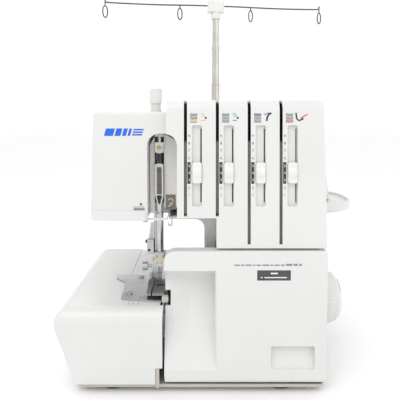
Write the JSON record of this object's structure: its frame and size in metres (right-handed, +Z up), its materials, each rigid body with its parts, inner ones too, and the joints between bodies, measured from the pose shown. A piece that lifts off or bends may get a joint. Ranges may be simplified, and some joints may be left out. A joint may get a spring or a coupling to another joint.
{
  "type": "serger overlock machine",
  "caption": "Serger overlock sewing machine with thread-tension tower, swinging cloth plate, hinged looper cover, spool tray and telescopic thread guide.",
  "frame": {"origin": "centre of the whole machine's footprint on the desk, at the soles of the feet", "axes": "+Z up, -Y towards the user (front), +X towards the handwheel"},
  "size_m": [0.3477, 0.231, 0.4322],
  "materials": {
    "white_case": "semi-gloss warm white moulding",
    "cream_pan": "matte cream moulding",
    "black_rubber": "matte",
    "cast_alloy": "as cast",
    "bushing_brass": "machined",
    "bright_steel": "polished",
    "satin_steel": "satin",
    "dark_plastic": "matte",
    "recess_grey": "satin brown grey",
    "label_grey": "satin",
    "white_knob": "gloss",
    "motor_black": "satin",
    "belt_rubber": "matte",
    "nickel": "nickel plate"
  },
  "bodies": {
    "root": {"base_pan": "cream_pan", "rubber_feet": "black_rubber", "main_frame": "cast_alloy", "bearing_bushes": "bushing_brass", "bed_cover": "white_case", "rear_cover": "white_case", "right_cover": "white_case", "inlet_panel": "dark_plastic", "hinge_rod": "satin_steel", "head_cover": "white_case", "recess_liner": "recess_grey", "arm_cover": "white_case", "tower_cover": "white_case", "slot_liners": "dark_plastic", "tension_discs": "bright_steel", "needle_plate": "satin_steel", "lower_knife": "satin_steel", "knife_knob": "cream_pan", "thread_hooks": "bright_steel", "motor": "motor_black", "drive_belt": "belt_rubber", "spool_tray": "white_case", "tray_brackets": "satin_steel", "spool_pins": "bright_steel", "spool_cones": "white_knob", "mast_lower": "nickel", "fixing_screws": "satin_steel"},
    "door_slide": {"hinge_sleeve": "satin_steel"},
    "looper_door": {"looper_cover": "white_case", "cover_label": "label_grey"},
    "cloth_plate": {"cloth_plate": "white_case"},
    "switch_rocker": {"power_switch": "dark_plastic"},
    "feed_lever": {"feed_lever": "white_knob"},
    "needle_bar": {"needle_bar": "bright_steel", "take_up": "bright_steel", "needle_clamp": "satin_steel", "clamp_screws": "bushing_brass", "needles": "bright_steel"},
    "presser": {"presser_bar": "satin_steel", "foot_shank": "satin_steel", "presser_foot": "bright_steel"},
    "presser_lifter": {"presser_lifter": "satin_steel"},
    "pressure_knob": {"pressure_knob": "white_knob"},
    "feed_dogs": {"feed_dogs": "satin_steel"},
    "lower_looper": {"lower_looper": "bright_steel"},
    "upper_looper": {"upper_looper": "bright_steel"},
    "upper_knife": {"upper_knife": "satin_steel"},
    "drive": {"main_shaft": "satin_steel", "handwheel": "white_case", "shaft_pulley": "cast_alloy"},
    "motor_pulley": {"motor_pulley": "cast_alloy"},
    "arm_rocker": {"arm_rocker": "satin_steel"},
    "mast_middle": {"mast_middle": "nickel"},
    "mast_upper": {"mast_upper": "nickel"},
    "thread_guide": {"guide_cap": "white_knob", "guide_wires": "bright_steel"},
    "tension_slider_1": {"tension_slider_1": "white_knob"},
    "tension_slider_2": {"tension_slider_2": "white_knob"},
    "tension_slider_3": {"tension_slider_3": "white_knob"},
    "tension_slider_4": {"tension_slider_4": "white_knob"}
  },
  "joints": [
    {"name": "door_slide", "type": "slide", "parent": "root", "child": "door_slide", "axis": [1, 0, 0], "range_m": [0, 0.007]},
    {"name": "door_open", "type": "hinge", "parent": "door_slide", "child": "looper_door", "pos_m": [-0.022, -0.1109, 0.0146], "axis": [1, 0, 0], "range_deg": [0, 85]},
    {"name": "cloth_plate_swing", "type": "hinge", "parent": "root", "child": "cloth_plate", "pos_m": [-0.114, 0.0895, 0.04], "axis": [0, 0, -1], "range_deg": [0, 60]},
    {"name": "switch_rock", "type": "hinge", "parent": "root", "child": "switch_rocker", "pos_m": [0.0985, 0.0745, 0.072], "axis": [0, 1, 0], "range_deg": [0, 12]},
    {"name": "feed_lever_turn", "type": "hinge", "parent": "root", "child": "feed_lever", "pos_m": [0.094, -0.0775, 0.03], "axis": [1, 0, 0], "range_deg": [-9, 9]},
    {"name": "needle_bar_slide", "type": "slide", "parent": "root", "child": "needle_bar", "axis": [0, 0, 1], "range_m": [-0.024, 0.002]},
    {"name": "lifter_turn", "type": "hinge", "parent": "root", "child": "presser_lifter", "pos_m": [-0.088, -0.0159, 0.19], "axis": [1, 0, 0], "range_deg": [0, 60.1]},
    {"name": "presser_lift", "type": "slide", "parent": "root", "child": "presser", "axis": [0, 0, 1], "range_m": [0, 0.006]},
    {"name": "pressure_turn", "type": "hinge", "parent": "root", "child": "pressure_knob", "pos_m": [-0.075, -0.0535, 0.3], "axis": [0, 0, 1], "range_deg": [-180, 180]},
    {"name": "feed_slide", "type": "slide", "parent": "root", "child": "feed_dogs", "axis": [0, 1, 0], "range_m": [-0.0015, 0.0015]},
    {"name": "lower_looper_rock", "type": "hinge", "parent": "root", "child": "lower_looper", "pos_m": [-0.087, -0.0555, 0.031], "axis": [0, 1, 0], "range_deg": [-4, 10]},
    {"name": "upper_looper_rock", "type": "hinge", "parent": "root", "child": "upper_looper", "pos_m": [-0.045, -0.0755, 0.04], "axis": [0, 1, 0], "range_deg": [-3, 7]},
    {"name": "knife_slide", "type": "slide", "parent": "root", "child": "upper_knife", "axis": [0, 0, 1], "range_m": [-0.004, 0.002]},
    {"name": "drive_spin", "type": "hinge", "parent": "root", "child": "drive", "pos_m": [0.074, -0.0335, 0.067], "axis": [1, 0, 0], "continuous": true},
    {"name": "motor_spin", "type": "hinge", "parent": "root", "child": "motor_pulley", "pos_m": [0.074, 0.0495, 0.046], "axis": [1, 0, 0], "continuous": true},
    {"name": "arm_rocker_rock", "type": "hinge", "parent": "root", "child": "arm_rocker", "pos_m": [-0.026, -0.0335, 0.2345], "axis": [1, 0, 0], "range_deg": [-4, 46.1]},
    {"name": "mast_middle_slide", "type": "slide", "parent": "root", "child": "mast_middle", "axis": [0, 0, 1], "range_m": [-0.04, 0]},
    {"name": "mast_upper_slide", "type": "slide", "parent": "mast_middle", "child": "mast_upper", "axis": [0, 0, 1], "range_m": [-0.034, 0]},
    {"name": "guide_turn", "type": "hinge", "parent": "mast_upper", "child": "thread_guide", "pos_m": [-0.0052, 0.0575, 0.42], "axis": [0, 0, 1], "range_deg": [-90, 90]},
    {"name": "tension_1", "type": "slide", "parent": "root", "child": "tension_slider_1", "axis": [0, 0.0506, 0.9987], "range_m": [-0.022, 0.036]},
    {"name": "tension_2", "type": "slide", "parent": "root", "child": "tension_slider_2", "axis": [0, 0.0506, 0.9987], "range_m": [-0.022, 0.036]},
    {"name": "tension_3", "type": "slide", "parent": "root", "child": "tension_slider_3", "axis": [0, 0.0506, 0.9987], "range_m": [-0.022, 0.036]},
    {"name": "tension_4", "type": "slide", "parent": "root", "child": "tension_slider_4", "axis": [0, 0.0506, 0.9987], "range_m": [-0.022, 0.036]}
  ],
  "couplings": [
    {"joint": "motor_spin", "follows": "drive_spin", "ratio": 2.6667},
    {"joint": "arm_rocker_rock", "follows": "needle_bar_slide", "rad_per_m": -33.452},
    {"joint": "lower_looper_rock", "follows": "needle_bar_slide", "rad_per_m": -7.272},
    {"joint": "upper_looper_rock", "follows": "needle_bar_slide", "rad_per_m": -5.091},
    {"joint": "knife_slide", "follows": "needle_bar_slide", "ratio": 0.1667},
    {"joint": "feed_slide", "follows": "needle_bar_slide", "ratio": 0.0625},
    {"joint": "lifter_turn", "follows": "presser_lift", "rad_per_m": 174.53}
  ]
}
